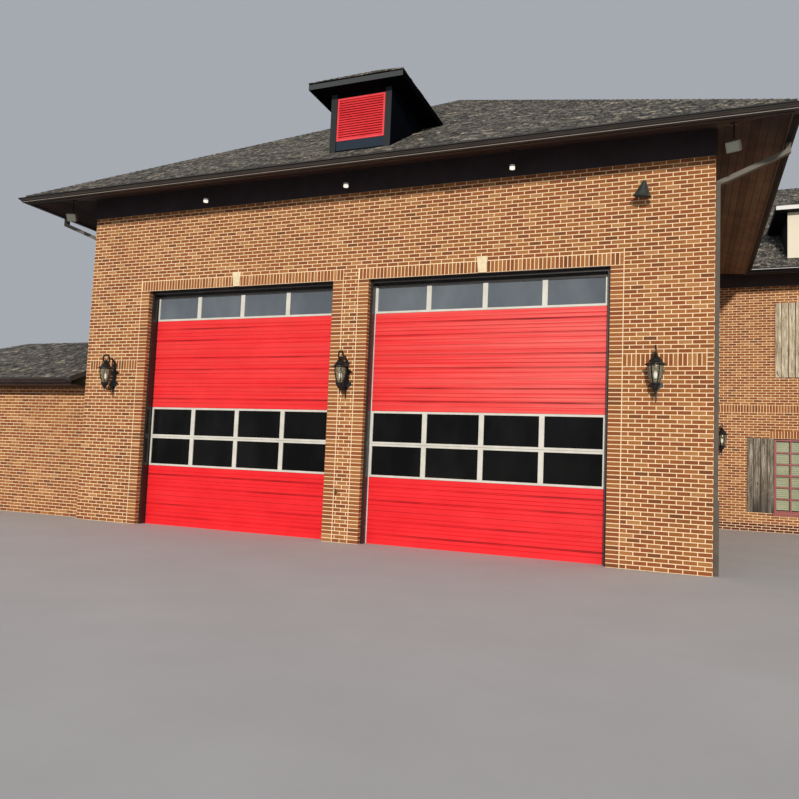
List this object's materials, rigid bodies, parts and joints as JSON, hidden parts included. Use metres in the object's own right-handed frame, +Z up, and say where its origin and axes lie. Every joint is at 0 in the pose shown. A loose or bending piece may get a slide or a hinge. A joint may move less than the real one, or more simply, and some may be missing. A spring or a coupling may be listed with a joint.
{
  "type": "fire station building",
  "caption": "Brick fire station with sectional engine doors, a hipped shingle roof with dormers, a long side wing and a low side wing.",
  "frame": {"origin": "on the ground, at the centre of the foot of the brick pier between the two engine doors", "axes": "+X to the right along the front wall as seen from outside, +Y into the building, +Z up"},
  "size_m": [31.31, 23.502, 11.0729],
  "materials": {
    "brick": "rough",
    "concrete": "rough",
    "limestone": "matte",
    "bronze": "satin",
    "door_red": "gloss",
    "door_rail": "satin",
    "door_glass": "clear",
    "dark_timber": "matte",
    "shingle": "rough",
    "dormer_bronze": "matte",
    "louvre_red": "satin",
    "black_metal": "satin",
    "lamp_glass": "clear",
    "grey_metal": "satin",
    "tap_brass": "worn",
    "floor_timber": "matte",
    "window_red": "satin",
    "window_glass": "clear",
    "shutter_timber": "weathered",
    "siding": "satin",
    "white_trim": "satin"
  },
  "bodies": {
    "root": {"bay_floor": "concrete", "front_left_pier": "brick", "front_middle_pier": "brick", "front_right_pier": "brick", "front_head_wall": "brick", "left_wall": "brick", "right_wall": "brick", "back_wall": "brick", "keystones": "limestone", "left_door_lining": "bronze", "right_door_lining": "bronze", "weather_strips": "door_rail", "left_door_red_sections": "door_red", "left_door_glazed_sections": "door_rail", "left_door_glass": "door_glass", "right_door_red_sections": "door_red", "right_door_glazed_sections": "door_rail", "right_door_glass": "door_glass", "frieze_boards": "dark_timber", "soffit_boards": "dark_timber", "fascia_boards": "dark_timber", "gutters": "bronze", "downspouts": "bronze", "roof_front": "shingle", "roof_left": "shingle", "roof_right": "shingle", "roof_back": "shingle", "wing_roof_front": "shingle", "wing_roof_end": "shingle", "roof_caps": "shingle", "dormer_walls": "dormer_bronze", "dormer_louvre": "louvre_red", "dormer_roof": "shingle", "wall_lanterns": "black_metal", "lantern_glass": "lamp_glass", "soffit_lamps": "black_metal", "corner_floodlights": "grey_metal", "wall_floodlight": "black_metal", "hose_tap": "tap_brass", "wing_front_wall": "brick", "wing_end_wall": "brick", "wing_ground_floor": "concrete", "wing_upper_floor": "floor_timber", "window_frames": "window_red", "window_glass": "window_glass", "window_sills": "window_red", "shutters": "shutter_timber", "wing_dormer_walls": "siding", "wing_dormer_window": "white_trim", "wing_dormer_roof": "shingle", "left_wing_walls": "brick", "left_wing_floor": "concrete", "left_wing_roof": "shingle", "left_wing_eaves": "dark_timber"}
  },
  "joints": []
}
